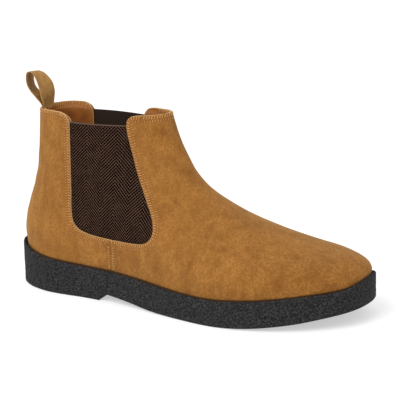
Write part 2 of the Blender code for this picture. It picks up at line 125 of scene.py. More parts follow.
LOOP_NEAR_EDGE = [(-129.2, 153.6), (-133.6, 158.2), (-136.6, 163), (-137.5, 168.5), (-136.2, 173.6),
    (-133.4, 174.4), (-130.2, 171.5), (-127.5, 166.1), (-125.6, 160), (-124.6, 155)]
LOOP_FAR_EDGE = [(-131, 151.8), (-137.3, 154.8), (-141, 158.5), (-142.2, 163), (-141.8, 167.6),
    (-138.8, 170.8), (-133.5, 170.2), (-128.6, 166.8), (-125, 162.2), (-123.6, 157)]

STITCH_ROWS = ((1.6, 2.4), (4.4, 1.4))  # distance from the edge and length of the stitches, each row
STITCH_PITCH = 2.1
STITCH_SLANT = radians(68)
STITCH_DIP = 0.12  # how far the stitch rows pull the leather in
THREAD = 0.26  # radius
SEAM_STITCHES = ((1.2, 1.5), (-3.4, 1.5))  # distance before the side seam, length: vamp, quarter
BACK_SEAM_STITCH = (0.075, 1.5)  # at the back seam: turn away from it, length
WEAVE_PITCH = 2.6  # from one slanted thread of the elastic to the next

# Relief of the leather: waves are (height, wavelength), creases (height, wavelength, centre, spread)
LEATHER_WAVES = ((0.16, 46), (0.07, 19))
ANKLE_CREASE = (0.28, 15, (22, 84), (34, 16))
HEEL_CREASE = (0.16, 17, (-135, 92), (30, 22))
ROW_DENT = (0.16, 0.6)  # depth and half width of the dent along a stitch row

SOLE_GRAIN = ((1.0, 0.3), (2.4, 0.22))  # size and depth of the moulded grain
SOLE_EDGE = 1.6  # rounding of the sole's upper and lower edges
TAPE_THICKNESS = 0.7
TAPE_STRANDS = (1.8, 2.6)  # depth of the tape's two strands below the leather's face


# ---------- curves and surfaces

def unit(vectors):
    """The same directions with a length of 1."""
    return vectors / np.linalg.norm(vectors, axis=-1, keepdims=True)


def spline(knots, at):
    """Smooth curve through knots (parameter, value, ...) evaluated at the parameters in at."""
    knots = np.asarray(knots, float)
    u, v = knots[:, 0], knots[:, 1:]
    at = np.clip(np.asarray(at, float), u[0], u[-1])
    step = np.diff(u)[:, None]
    slope = np.diff(v, axis=0) / step
    tangent = np.empty_like(v)
    tangent[1:-1] = (slope[:-1] * step[1:] + slope[1:] * step[:-1]) / (step[:-1] + step[1:])
    tangent[0] = 1.5 * slope[0] - 0.5 * tangent[1]
    tangent[-1] = 1.5 * slope[-1] - 0.5 * tangent[-2]
    i = np.clip(np.searchsorted(u, at, side="right") - 1, 0, len(u) - 2)
    h = step[i]
    s = ((at - u[i]) / h[:, 0])[:, None]
    value = ((2 * s**3 - 3 * s**2 + 1) * v[i] + (s**3 - 2 * s**2 + s) * h * tangent[i]
             + (3 * s**2 - 2 * s**3) * v[i + 1] + (s**3 - s**2) * h * tangent[i + 1])
    return value[:, 0] if value.shape[1] == 1 else value


def smoothstep(x):
    """0 up to x = 0, 1 from x = 1 on, and a smooth rise between."""
    x = np.clip(x, 0, 1)
    return x * x * (3 - 2 * x)


def foot_axis(x):
    """The foot's centreline, which swings to the medial side towards the toe."""
    return BACK_SEAM_Y + TOE_SWING * np.clip(x / (LENGTH / 2), 0, 1) ** 2


def whole_turn(count):
    """Turns of a closed ring with 2 * count - 2 points."""
    half = np.linspace(0, pi, count)
    return np.r_[half, 2 * pi - half[-2:0:-1]]


def sole_outline(inset, turns):
    """Plan outline of the sole, moved in by inset."""
    angle = np.minimum(turns, 2 * pi - turns)
    share, side = (1 - np.cos(angle)) / 2, np.where(turns <= pi, -1, 1)
    x = LENGTH * (share - 0.5)
    factor = np.where(side < 0, spline(SOLE_LATERAL, share), spline(SOLE_MEDIAL, share))
    ring = np.stack([x, foot_axis(x) + side * factor * np.sin(angle)], axis=1)
    along = np.roll(ring, -1, axis=0) - np.roll(ring, 1, axis=0)
    normal = np.stack([along[:, 1], -along[:, 0]], axis=1)
    return ring - inset * normal / np.linalg.norm(normal, axis=1)[:, None]


def rim_height(x):
    """Height of the sole's rim."""
    return spline(RIM_TOP, x)


FEATHER_TURNS = whole_turn(400)
FEATHER = sole_outline(LEDGE + FIT_GAP, FEATHER_TURNS)


def wall(t, turn):
    """Points of the upper's outer face."""
    turn = np.mod(turn, 2 * pi)
    angle, side = np.minimum(turn, 2 * pi - turn), np.where(turn <= pi, -1.0, 1.0)
    up, share, sine = np.clip(t, 0, 1), (1 - np.cos(angle)) / 2, np.sin(angle)
    back, front, ends = spline(BACK_PROFILE, up), spline(RIDGE, up), spline(NARROWING, up)
    x = back[:, 0] + (front[:, 0] - back[:, 0]) * share
    feather_x = np.interp(turn, FEATHER_TURNS, FEATHER[:, 0], period=2 * pi)
    feather_y = np.interp(turn, FEATHER_TURNS, FEATHER[:, 1], period=2 * pi)
    half_width = abs(feather_y - foot_axis(feather_x))
    narrow = ends[:, 0] + (ends[:, 1] - ends[:, 0]) * smoothstep(share)
    half_width = half_width + (spline(TOPLINE_OVAL, share) * sine - half_width) * narrow
    first, last = BACK_PROFILE[0][2], RIDGE[0][2]
    sag = rim_height(feather_x) - first - (last - first) * share
    z = back[:, 1] + (front[:, 1] - back[:, 1]) * share + sag * np.clip(1 - up / SAG_ENDS, 0, 1) ** 2
    start = BACK_PROFILE[0][1] + (RIDGE[0][1] - BACK_PROFILE[0][1]) * share
    x = x + (feather_x - start) * np.clip(1 - up / FEATHER_ENDS, 0, 1)
    return np.stack([x, foot_axis(x) + side * half_width, z + SKIRT * np.minimum(t, 0)], axis=1)


def wall_normal(t, turn):
    """Outward unit normals of the upper's outer face."""
    step = 0.002
    along = wall(t, turn + step) - wall(t, turn - step)
    up = wall(t + step, turn) - wall(t - step, turn)
    return unit(np.cross(along, up))


def on_side(angle, side):
    """The turn of an angle from the back seam, on the lateral (-1) or the medial (1) side."""
    return angle if side < 0 else 2 * pi - angle


def aim(target, axes, t, angle, side, rounds):
    """(t, turn) where two coordinates of the wall, picked by axes, hit the targets, by Newton's method."""
    step = 0.001
    for _ in range(rounds):
        here = wall(t, on_side(angle, side))[:, axes]
        by_t = ((wall(t + step, on_side(angle, side))[:, axes] - here) / step).T
        by_angle = ((wall(t, on_side(angle + step, side))[:, axes] - here) / step).T
        miss = (target - here).T
        det = by_t[0] * by_angle[1] - by_t[1] * by_angle[0]
        t = t + (miss[0] * by_angle[1] - miss[1] * by_angle[0]) / det
        angle = angle + (by_t[0] * miss[1] - by_t[1] * miss[0]) / det
    return t, on_side(angle, side)


def locate(side_view, side):
    """(t, turn) of the points of the wall that show at these (x, z) in the side view; side is -1 or 1."""
    ts, angles = [g.ravel() for g in np.meshgrid(np.linspace(0, 1, 70), np.linspace(0.02, pi - 0.02, 140))]
    guess = wall(ts, on_side(angles, side))[:, [0, 2]]
    side_view = np.asarray(side_view, float)
    nearest = [np.argmin(((guess - p) ** 2).sum(axis=1)) for p in side_view]
    return aim(side_view, [0, 2], ts[nearest], angles[nearest], side, 5)


def beside_seam(y, z):
    """(t, turn) of wall points near the back seam with these y and z."""
    t = np.interp(z, [k[2] for k in BACK_PROFILE], [k[0] for k in BACK_PROFILE])
    turn = -(y - BACK_SEAM_Y) / TOPLINE_OVAL[0][1]
    return aim(np.c_[y, z], [1, 2], t, turn, -1, 6)


def travelled(path):
    """Distance along a path at each of its points."""
    return np.r_[0, np.cumsum(np.linalg.norm(np.diff(path, axis=0), axis=1))]


def smooth_line(points, count):
    """count points, evenly spaced, along a smooth curve through the given ones."""
    travel = travelled(points)
    return spline(np.c_[travel, points], np.linspace(0, travel[-1], count))


def offset_line(line, distance):
    """An open line in the side view, moved to its left by distance."""
    along = unit(np.gradient(line, axis=0))
    return line + distance * np.stack([-along[:, 1], along[:, 0]], axis=1)


def outside(points, outline):
    """Signed distance from flat points to a closed outline: negative inside it."""
    a = np.asarray(outline, float)
    b = np.roll(a, -1, axis=0)
    along = b - a
    result = np.empty(len(points))
    at_once = 4000
    for first in range(0, len(points), at_once):
        p = points[first:first + at_once, None, :]
        share = np.clip(((p - a) * along).sum(axis=2) / (along**2).sum(axis=1), 0, 1)
        near = np.linalg.norm(p - a - share[:, :, None] * along, axis=2).min(axis=1)
        straddles = (a[:, 1] > p[:, :, 1]) != (b[:, 1] > p[:, :, 1])
        with np.errstate(divide="ignore", invalid="ignore"):
            crossing = a[:, 0] + (p[:, :, 1] - a[:, 1]) * along[:, 0] / along[:, 1]
        inside = (straddles & (p[:, :, 0] < crossing)).sum(axis=1) % 2 == 1
        result[first:first + at_once] = np.where(inside, -near, near)
    return result


def ripple(points, wavelength):
    """Smooth waves between about -1 and 1, the same each run."""
    total = np.zeros(len(points))
    for k, direction in enumerate(((1, 0.7, 0.3), (-0.4, 1, 0.9), (0.8, -0.5, 1.1), (0.2, 0.9, -1.3))):
        total += np.sin(points @ np.array(direction) * 2 * pi / wavelength * (1 + 0.17 * k) + 1.7 * k)
    return total / 4


# ---------- trimmed sheets

def quads(rows, wide):
    """Quads of a grid of points, counted row by row."""
    return [(i * wide + j, i * wide + j + 1, (i + 1) * wide + j + 1, (i + 1) * wide + j)
            for i in range(rows - 1) for j in range(wide - 1)]


def grid(ts, turns):
    """Parameters and quads of a patch of the wall."""
    t, turn = np.meshgrid(ts, turns, indexing="ij")
    return np.c_[t.ravel(), turn.ravel()], quads(len(ts), len(turns))


def cut_along(params, faces, value, level):
    """Splits the faces that cross value == level, so that the level runs along edges."""
    params, value = list(params), list(value)
    made = {}

    def crossing(i, j):
        key = (min(i, j), max(i, j))
        if key not in made:
            share = (level - value[i]) / (value[j] - value[i])
            made[key] = len(params)
            params.append(params[i] + (params[j] - params[i]) * share)
            value.append(level)
        return made[key]

    result = []
    for face in faces:
        above = [value[i] > level for i in face]
        if all(above) or not any(above):
            result.append(face)
            continue
        low, high = [], []
        for i, j, up, next_up in zip(face, face[1:] + face[:1], above, above[1:] + above[:1]):
            (high if up else low).append(i)
            if up != next_up:
                point = crossing(i, j)
                low.append(point)
                high.append(point)
        result += [tuple(part) for part in (low, high) if len(part) > 2]
    return np.array(params), result, np.array(value)


BORDER_ROWS = (-0.15, -0.45, -0.9, -1.7, -3.0, -4.3, -5.4)  # carry the rounded edge and the stitch dents


def trim(params, faces, edge):
    """The part of a patch where edge is negative, with extra rows of points close to its border."""
    value = edge(wall(*params.T))
    faces = [face for face in faces if min(value[list(face)]) < 0]
    params, faces, value = cut_along(params, faces, value, 0.0)
    faces = [face for face in faces if np.mean(value[list(face)]) < 0]
    for level in BORDER_ROWS:
        params, faces, value = cut_along(params, faces, value, level)
    used = sorted({i for face in faces for i in face})
    new = {old: k for k, old in enumerate(used)}
    return params[used], [tuple(new[i] for i in face) for face in faces], value[used]


def closed(faces, count):
    """Adds the back, whose points come count after the face's, and the strip round the border."""
    seen = {edge: None for face in faces for edge in zip(face, face[1:] + face[:1])}
    border = [(i, j) for i, j in seen if (j, i) not in seen]
    back = [tuple(count + i for i in reversed(face)) for face in faces]
    return faces + back + [(j, i, count + i, count + j) for i, j in border]


def ring_wall(rings, count):
    """Points of closed rings of count points each, and the quads between neighbouring rings."""
    faces = []
    for low in range(0, (len(rings) - 1) * count, count):
        high = low + count
        faces += [(low + j, low + (j + 1) % count, high + (j + 1) % count, high + j) for j in range(count)]
    return np.vstack(rings), faces


def merged(parts):
    """One list of points and one of faces from parts (points, faces)."""
    points, faces = [], []
    for part_points, part_faces in parts:
        faces += [tuple(len(points) + i for i in f) for f in part_faces]
        points += list(part_points)
    return points, faces


def rework(mesh, weld=False):
    """Turns the faces outwards, after welding the borders that meet."""
    work = bmesh.new()
    work.from_mesh(mesh)
    if weld:
        bmesh.ops.remove_doubles(work, verts=work.verts, dist=0.004 * MM)
        bmesh.ops.dissolve_degenerate(work, edges=work.edges, dist=0.001 * MM)
    bmesh.ops.recalc_face_normals(work, faces=work.faces)
    work.to_mesh(mesh)
    work.free()


def linked(name, data):
    """A new object in the scene."""
    made = bpy.data.objects.new(name, data)
    bpy.context.scene.collection.objects.link(made)
    return made


def mesh_of(name, points, faces):
    """A mesh from points in millimetres."""
    mesh = bpy.data.meshes.new(name)
    mesh.from_pydata((np.asarray(points) * MM).tolist(), [], faces)
    return mesh


def piece_of(name, mesh, look, smooth_angle):
    """An object that keeps its rest shape for the textures."""
    piece = linked(name, mesh)
    mesh.materials.append(look)
    mesh.shade_smooth()
    mesh.set_sharp_from_angle(angle=radians(smooth_angle))
    write_attribute(piece, "rest", points_mm(piece))
    return piece


def mesh_piece(name, points, faces, look, smooth_angle=40):
    """A piece from points in millimetres."""
    mesh = mesh_of(name, points, faces)
    mesh.validate()
    return piece_of(name, mesh, look, smooth_angle)


def points_mm(piece):
    """A piece's points, in millimetres."""
    return np.array([v.co for v in piece.data.vertices]) / MM


def write_attribute(piece, name, values):
    """A value, or a vector, for each point of a piece."""
    kind, field = ("FLOAT_VECTOR", "vector") if np.ndim(values) == 2 else ("FLOAT", "value")
    attribute = piece.data.attributes.new(name, kind, "POINT")
    attribute.data.foreach_set(field, np.asarray(values, np.float32).ravel())


def sheet(name, patch, edge, depth, thickness, relief, look, lip=0.6):
    """A closed sheet of leather or cloth that lies depth below the wall, trimmed where edge is positive.

    depth may be a function of the points; relief takes the points and their distance from the border. The
    face's border is rounded off over the width of the lip.
    """
    params, faces, value = trim(*patch, edge)
    base, normal = wall(*params.T), wall_normal(*params.T)
    inward = -value
    rounding = lip - np.sqrt(np.maximum(lip**2 - np.maximum(lip - inward, 0) ** 2, 0))
    low = depth(base) if callable(depth) else np.full(len(base), depth)
    face = base + normal * (relief(base, inward) - low - rounding)[:, None]
    back = base - normal * (low + thickness)[:, None]
    count = len(base)
    piece = mesh_piece(name, np.vstack([face, back]), closed(faces, count), look)
    write_attribute(piece, "border", np.r_[inward, inward])
    write_attribute(piece, "weave", np.vstack([base, base]))
    # Height above the sole's rim, which the suede uses for its painted shade just above the sole
    above_sole = face[:, 2] - rim_height(face[:, 0])
    write_attribute(piece, "above_sole", np.r_[above_sole, above_sole])
    write_attribute(piece, "inner", np.r_[np.zeros(count), np.ones(count)])
    return piece


# ---------- outlines of the panels

def below(line, height):
    """The part of a side-view line under a height."""
    return line[line[:, 1] < height]


# The edge of the leather round the gore: down the rear, along the foot and up the front
WINDOW = offset_line(smooth_line(GORE_REAR + GORE_FOOT + GORE_FRONT, 140), -FIT_GAP / 2)
SEAM_POINT = np.argmin(abs(WINDOW[:, 0] - SEAM_X))
REAR_EDGE = below(WINDOW[:SEAM_POINT], QUARTER_TOP[-1][1])
FRONT_EDGE = below(WINDOW[SEAM_POINT:], VAMP_TOP[0][1] - 1)
VAMP_LINE = np.vstack([FRONT_EDGE, smooth_line(VAMP_TOP, 30)])
QUARTER_LINE = np.vstack([smooth_line(QUARTER_TOP, 40), REAR_EDGE])
UNDER, AHEAD, BEHIND, ABOVE = -20, 200, -190, 155  # well clear of the upper on each side
VAMP_OUTLINE = np.vstack([[(SEAM_X + SEAM_GAP, UNDER), (SEAM_X + SEAM_GAP, FRONT_EDGE[0][1])], VAMP_LINE[1:],
                          [(AHEAD, ABOVE), (AHEAD, UNDER)]])
QUARTER_OUTLINE = np.vstack([[(BEHIND, UNDER), (BEHIND, QUARTER_TOP[0][1])], QUARTER_LINE,
                             [(SEAM_X - SEAM_GAP, REAR_EDGE[-1][1]), (SEAM_X - SEAM_GAP, UNDER)]])


def gore_outline(top):
    """The elastic: the window plus the underlap, straight across the top."""
    window = smooth_line(GORE_REAR[1:] + GORE_FOOT + GORE_FRONT, 90)
    sides = below(offset_line(window, -GORE_UNDERLAP), top)
    return np.vstack([[(sides[0][0], top)], sides, [(sides[-1][0], top)]])


def edge_of(outline, back_seam=0):
    """Distance outside an outline; with a side of -1 or 1 the piece also ends at the back seam."""
    def edge(points):
        value = outside(points[:, [0, 2]], outline)
        if back_seam:
            value = np.maximum(value, SEAM_GAP - back_seam * (points[:, 1] - BACK_SEAM_Y))
        return value
    return edge


# ---------- relief

def crease(points, kind, across, wander):
    """Folds that cross the direction across, strongest round a centre in the side view."""
    height, wavelength, centre, spread = kind
    hill = np.exp(-(((points[:, [0, 2]] - centre) / spread) ** 2).sum(axis=1))
    return height * np.sin(across * 2 * pi / wavelength + ripple(points, wander)) * hill


def leather_relief(points, inward):
    """Soft waves, the folds a worn ankle makes, and the dents the stitch rows pull in."""
    relief = sum(height * ripple(points, wavelength) for height, wavelength in LEATHER_WAVES)
    relief += crease(points, ANKLE_CREASE, points[:, 0] * 0.55 + points[:, 2], 60)
    relief += crease(points, HEEL_CREASE, points[:, 2], 50)
    depth, width = ROW_DENT
    for row, _ in STITCH_ROWS:
        relief -= depth * np.exp(-(((inward - row) / width) ** 2))
    return relief


def lining_relief(points, _):
    """Soft waves."""
    return 0.1 * ripple(points, 24)


def elastic_relief(points, inward):
    """The elastic swells a little between its sewn borders, with soft waves."""
    swell = smoothstep((inward - GORE_UNDERLAP) / 14)
    return 0.5 * swell + 0.12 * ripple(points, 33)


def lining_depth(points):
    """The lining closes up to the leather at the topline, save where the pull tape runs between them."""
    near_top = smoothstep((points[:, 2] - GORE_TOP["lateral"] - 1) / 6)
    beside_tape = smoothstep((abs(points[:, 1] - BACK_SEAM_Y) - TAPE_WIDTH / 2 - 1) / 5)
    beside_tape = np.where(points[:, 0] > SEAM_X, 1, beside_tape)
    return LINING_DEPTH - (LINING_DEPTH - LEATHER - 0.05) * near_top * beside_tape


# ---------- materials

class Look:
    """A node material; add() makes a node and links or sets its inputs."""

    def __init__(self, name):
        self.material = bpy.data.materials.new(name)
        self.material.use_nodes = True
        self.tree = self.material.node_tree
        self.shader = self.tree.nodes["Principled BSDF"]

    def put(self, target, value):
        """Links a socket to an input, or sets the input to a plain value."""
        if isinstance(value, bpy.types.NodeSocket):
            self.tree.links.new(value, target)
        else:
            target.default_value = value

    def add(self, kind, inputs, **settings):
        made = self.tree.nodes.new("ShaderNode" + kind)
        for name, value in settings.items():
            setattr(made, name, value)
        for name, value in inputs.items():
            self.put(made.inputs[name], value)
        return made.outputs

    def math(self, operation, *values):
        return self.add("Math", dict(enumerate(values)), operation=operation)[0]

    def place(self, name="rest"):
        """A vector stored on the mesh, in millimetres."""
        return self.add("Attribute", {}, attribute_name=name)["Vector"]

    def value(self, name):
        """A number stored on the mesh."""
        return self.add("Attribute", {}, attribute_name=name)["Fac"]

    def noise(self, size, detail=2.0, tall=1.0):
        """Noise whose grains are about size millimetres wide, and tall times as high as wide."""
        scaled = self.add("VectorMath", {0: self.place(), 1: (1 / size, 1 / size, 1 / size / tall)},
                          operation="MULTIPLY")["Vector"]
        return self.add("TexNoise", {"Vector": scaled, "Scale": 1.0, "Detail": detail})["Fac"]

    def ramp(self, value, low, high, to_low=0.0, to_high=1.0):
        """Runs from to_low, where value is low, to to_high, where it is high."""
        return self.add("MapRange", {"Value": value, "From Min": low, "From Max": high, "To Min": to_low,
                                     "To Max": to_high})["Result"]

    def mix(self, share, first, second):
        """From the first colour at a share of 0 to the second at 1."""
        made = self.tree.nodes.new("ShaderNodeMix")
        made.data_type = "RGBA"
        for name, value in (("Factor_Float", share), ("A_Color", first), ("B_Color", second)):
            self.put(next(s for s in made.inputs if s.identifier == name), value)
        return next(s for s in made.outputs if s.identifier == "Result_Color")

    def mottle(self, size, detail, first, second):
        """Blotches of two colours, about size millimetres wide."""
        return self.mix(self.ramp(self.noise(size, detail), 0.3, 0.7), first, second)

    def bump(self, height, distance, strength=1.0):
        """Bump from a height of 0 to 1 that stands for distance millimetres."""
        raised = self.add("Bump", {"Height": height, "Distance": distance * MM, "Strength": strength})
        self.put(self.shader.inputs["Normal"], raised["Normal"])

    def finish(self, **inputs):
        """Sets the shader's inputs; an underscore stands for a space in their names."""
        for name, value in inputs.items():
            self.put(self.shader.inputs[name.replace("_", " ")], value)
        return self.material


def colours(*screen):
    """Linear colours from screen values of 0 to 255."""
    return [tuple(c / 255 / 12.92 if c < 11 else ((c / 255 + 0.055) / 1.055) ** 2.4 for c in tone) + (1.0,)
            for tone in screen]


WARM_SHEEN, = colours((255, 210, 140))


def make_suede():
    """Brushed split leather: blotches where the nap lies differently, dark seams, pale cut edges and painted
    shade just above the sole.
    """
    look = Look("suede")
    dark, light, brushed = colours((124, 79, 28), (155, 105, 45), (171, 122, 62))
    nap_dark, fibre_dark, seam_dark = colours((112, 66, 23), (104, 62, 24), (104, 60, 24))
    cut_edge, painted_shade_above_sole = colours((196, 158, 108), (40, 24, 12))
    blotch_size, streak_size, nap_size, fibre_size = 16, 5.5, 1.7, 0.5
    tone = look.mottle(blotch_size, 4, dark, light)
    streaks = look.ramp(look.noise(streak_size, 3, tall=2.6), 0.36, 0.66, 0.0, 0.42)
    tone = look.mix(streaks, tone, brushed)
    forward = look.add("SeparateXYZ", {"Vector": look.place()})["X"]
    nap = look.ramp(look.noise(nap_size, 2), 0.36, 0.64)
    stronger_at_toe = look.ramp(forward, 30, 110, 0.5, 0.68)
    tone = look.mix(look.math("MULTIPLY", nap, stronger_at_toe), tone, nap_dark)
    fibres = look.noise(fibre_size, 3)
    tone = look.mix(look.ramp(fibres, 0.3, 0.75, 0.0, 0.3), tone, fibre_dark)
    for row, _ in STITCH_ROWS:
        away = look.math("ABSOLUTE", look.math("SUBTRACT", look.value("border"), row))
        tone = look.mix(look.ramp(away, 0.5, 1.5, 0.3, 0.0), tone, seam_dark)
    tone = look.mix(look.ramp(look.value("border"), 0.02, 0.3, 0.8, 0.0), tone, cut_edge)
    # Painted shade: the suede darkens over its last millimetre above the sole's rim
    tone = look.mix(look.ramp(look.value("above_sole"), 0.2, 1.0, 0.85, 0.0), tone, painted_shade_above_sole)
    look.bump(look.math("ADD", fibres, look.math("MULTIPLY", nap, 0.6)), 0.3, 0.6)
    rough = look.ramp(fibres, 0.3, 0.7, 0.88, 0.98)
    return look.finish(Base_Color=tone, Roughness=rough, Specular_IOR_Level=0.18, Sheen_Weight=0.2,
                       Sheen_Roughness=0.5, Sheen_Tint=WARM_SHEEN)


def make_lining_leather():
    """Smooth brown lining leather with fine pores, made paler towards its border by painted light."""
    look = Look("lining_leather")
    dark, light, pore_dark = colours((110, 56, 10), (140, 79, 20), (76, 38, 11))
    painted_light_near_border, cut_edge = colours((160, 103, 38), (200, 158, 106))
    mottle_size, pore_size, gloss_size = 9, 0.8, 2.5
    tone = look.mottle(mottle_size, 4, dark, light)
    pores = look.add("TexVoronoi", {"Vector": look.place(), "Scale": 1 / pore_size})["Distance"]
    tone = look.mix(look.ramp(pores, 0.0, 0.3, 0.35, 0.0), tone, pore_dark)
    # Painted light: the lining grows paler within 8 mm of its border
    tone = look.mix(look.ramp(look.value("border"), 1.0, 8.0, 0.45, 0.0), tone, painted_light_near_border)
    tone = look.mix(look.ramp(look.value("border"), 0.0, 0.5, 0.7, 0.0), tone, cut_edge)
    look.bump(pores, 0.15, 0.5)
    rough = look.ramp(look.noise(gloss_size, 3), 0.3, 0.7, 0.55, 0.72)
    return look.finish(Base_Color=tone, Roughness=rough, Specular_IOR_Level=0.35)


def make_elastic():
    """Gore elastic: thin brown threads that zigzag over near-black upright ribs, plain on its inner face."""
    look = Look("elastic")
    ground_dark, ground_light = colours((3, 2, 2), (6, 4, 3))
    inner_face, thread, selvedge_tone = colours((48, 38, 33), (146, 108, 88), (104, 86, 74))
    zigzag_width, rib_width = 13.0, 0.6
    axes = look.add("SeparateXYZ", {"Vector": look.place("weave")})
    zigzag = look.math("PINGPONG", axes["X"], zigzag_width)
    threads = []
    for operation, most in (("ADD", 1.0), ("SUBTRACT", 0.3)):
        slanted = look.math("DIVIDE", look.math(operation, axes["Z"], zigzag), WEAVE_PITCH)
        threads.append(look.ramp(look.math("PINGPONG", slanted, 0.5), 0.39, 0.48, 0.0, most))
    rib = look.math("PINGPONG", axes["X"], rib_width)
    outside_only = look.ramp(look.value("inner"), 0.0, 1.0, 1.0, 0.0)
    lit = look.math("MULTIPLY", look.math("MAXIMUM", *threads), look.ramp(rib, 0.05, 0.35, 0.45, 1.0))
    lit = look.math("MULTIPLY", lit, look.ramp(look.noise(5, 3), 0.3, 0.7, 0.55, 1.0))
    lit = look.math("MULTIPLY", lit, outside_only)
    tone = look.mottle(6, 3, ground_dark, ground_light)
    tone = look.mix(outside_only, inner_face, tone)
    tone = look.mix(lit, tone, thread)
    selvedge = look.ramp(look.value("below_top"), 0.7, 1.1, 0.6, 0.0)
    tone = look.mix(look.math("MULTIPLY", selvedge, outside_only), tone, selvedge_tone)
    look.bump(look.math("ADD", lit, rib), 0.3, 0.7)
    return look.finish(Base_Color=tone, Roughness=look.ramp(lit, 0, 1, 0.9, 0.7), Specular_IOR_Level=0.02)


def make_webbing():
    """Grosgrain tape: fine ribs across its width and firm selvedges."""
    look = Look("webbing")
    dark, light = colours((148, 107, 54), (170, 127, 72))
    between_ribs, selvedge_tone = colours((108, 70, 26), (176, 132, 78))
    rib_width, end_width = 0.45, 0.3
    axes = look.add("SeparateXYZ", {"Vector": look.place("weave")})
    rib = look.math("PINGPONG", axes["X"], rib_width)
    ends = look.math("PINGPONG", axes["Y"], end_width)
    woven = look.math("ADD", look.math("MULTIPLY", rib, 2.0), ends)
    tone = look.mottle(5, 3, dark, light)
    tone = look.mix(look.ramp(woven, 0.0, 0.5, 0.5, 0.0), tone, between_ribs)
    selvedge = look.ramp(look.math("ABSOLUTE", axes["Y"]), 8.9, 9.5, 0.0, 0.4)
    tone = look.mix(selvedge, tone, selvedge_tone)
    look.bump(woven, 0.25, 0.7)
    return look.finish(Base_Color=tone, Roughness=look.ramp(woven, 0.0, 1.0, 0.9, 0.75),
                       Specular_IOR_Level=0.15, Sheen_Weight=0.1, Sheen_Tint=WARM_SHEEN)


def make_thread():
    """Waxed linen thread, mottled, with a fine twist in its surface."""
    look = Look("thread")
    dark, light = colours((180, 126, 68), (206, 156, 98))
    tone = look.mix(look.ramp(look.noise(1.6, 2), 0.35, 0.65), dark, light)
    look.bump(look.noise(0.25, 1), 0.08, 0.5)
    return look.finish(Base_Color=tone, Roughness=look.ramp(look.noise(0.8, 1), 0.3, 0.7, 0.5, 0.7),
                       Specular_IOR_Level=0.35)


def make_rubber():
    """Crepe-look rubber: matt near-black with a fine speckle, and painted shade that darkens the ledge beside
    the leather to a brown-black.
    """
    look = Look("crepe_rubber")
    dark, speckle, dusty, painted_ledge_shade = colours((9, 9, 10), (55, 54, 55), (24, 26, 29), (12, 9, 7))
    grain_size, cloud_size = 1.3, 14
    grains = look.noise(grain_size, 3)
    tone = look.mix(look.ramp(grains, 0.42, 0.62), dark, speckle)
    tone = look.mix(look.ramp(look.noise(cloud_size, 3), 0.35, 0.7, 0.0, 0.25), tone, dusty)
    # Painted shade on the ledge between the sole's rim and the leather
    tone = look.mix(look.ramp(look.value("ledge"), 0.0, 1.0, 0.0, 0.85), tone, painted_ledge_shade)
    look.bump(grains, 0.35, 0.8)
    rough = look.ramp(grains, 0.3, 0.7, 0.72, 0.92)
    return look.finish(Base_Color=tone, Roughness=rough, Specular_IOR_Level=0.2)


def make_plain(name, low, high, grain, rough, metallic=0.0):
    """A hidden inside material: two close tones, a grain size in millimetres and a roughness."""
    look = Look(name)
    where = look.add("TexCoord", {})["Object"]
    spots = look.add("TexNoise", {"Vector": where, "Scale": 1 / (grain * MM), "Detail": 4.0})["Fac"]
    tone = look.mix(look.ramp(spots, 0.3, 0.7), *colours(low, high))
    look.bump(spots, 0.3, 0.5)
    return look.finish(Base_Color=tone, Roughness=look.ramp(spots, 0.3, 0.7, rough - 0.06, rough + 0.06),
                       Metallic=metallic)


SUEDE = make_suede()
LINING_LEATHER = make_lining_leather()
ELASTIC = make_elastic()
WEBBING = make_webbing()
THREAD_LOOK = make_thread()
RUBBER = make_rubber()

# The hidden nodes keep their CAD meshes
INSIDE_LOOKS = {
    "insole_board": ("fibreboard_look", (158, 132, 100), (182, 156, 122), 2.0, 0.9),
    "heel_counter": ("counter_look", (150, 124, 94), (176, 148, 114), 2.0, 0.9),
    "toe_puff": ("puff_look", (150, 124, 94), (176, 148, 114), 2.0, 0.9),
    "forefoot_filler": ("cork_look", (146, 104, 64), (186, 142, 94), 1.6, 0.95),
    "shank": ("steel_look", (150, 152, 156), (176, 178, 182), 6.0, 0.35, 1.0),
    "footbed_foam": ("foam_look", (186, 180, 168), (204, 198, 186), 0.8, 0.92),
}
for node_name, recipe in INSIDE_LOOKS.items():
    inside_look = make_plain(*recipe)
    for material_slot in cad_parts[node_name].material_slots:
        material_slot.material = inside_look


# ---------- upper

# Rings from just above the cup's floor to the topline, a little closer together near the sole
LOWEST_RING = -(CUP_DEPTH - FIT_GAP - 0.2) / SKIRT
UPPER_LEVELS = np.r_[LOWEST_RING, LOWEST_RING / 2, np.linspace(0, 1, 96) ** 1.12]
VAMP_TURNS = np.linspace(0.30 * pi, 1.70 * pi, 330)
QUARTER_TURNS = np.linspace(0, 0.46 * pi, 110)
GORE_TURNS = np.linspace(0.17 * pi, 0.85 * pi, 190)
SIDES = {"lateral": -1, "medial": 1}
QUARTER_PARTS = ("lower", "fold", "upper")


def run_of(turns, side):
    """A run of turns on one side, always in the order of growing turn."""
    return turns if side < 0 else 2 * pi - turns[::-1]


def dress(piece, nodes=()):
    """Hides the CAD nodes that a piece stands for."""
    if nodes:
        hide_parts(*nodes)
    return piece


def make_vamp():
    edge = edge_of(VAMP_OUTLINE)
    patch = grid(UPPER_LEVELS, VAMP_TURNS)
    vamp = sheet("suede_vamp", patch, edge, 0.0, LEATHER, leather_relief, SUEDE)
    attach(dress(vamp, ["vamp"]), "boot")
    lining = sheet("leather_vamp_lining", patch, edge, lining_depth, LINING_THICKNESS, lining_relief,
                   LINING_LEATHER, lip=0.3)
    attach(dress(lining, ["vamp_lining"]), "boot")


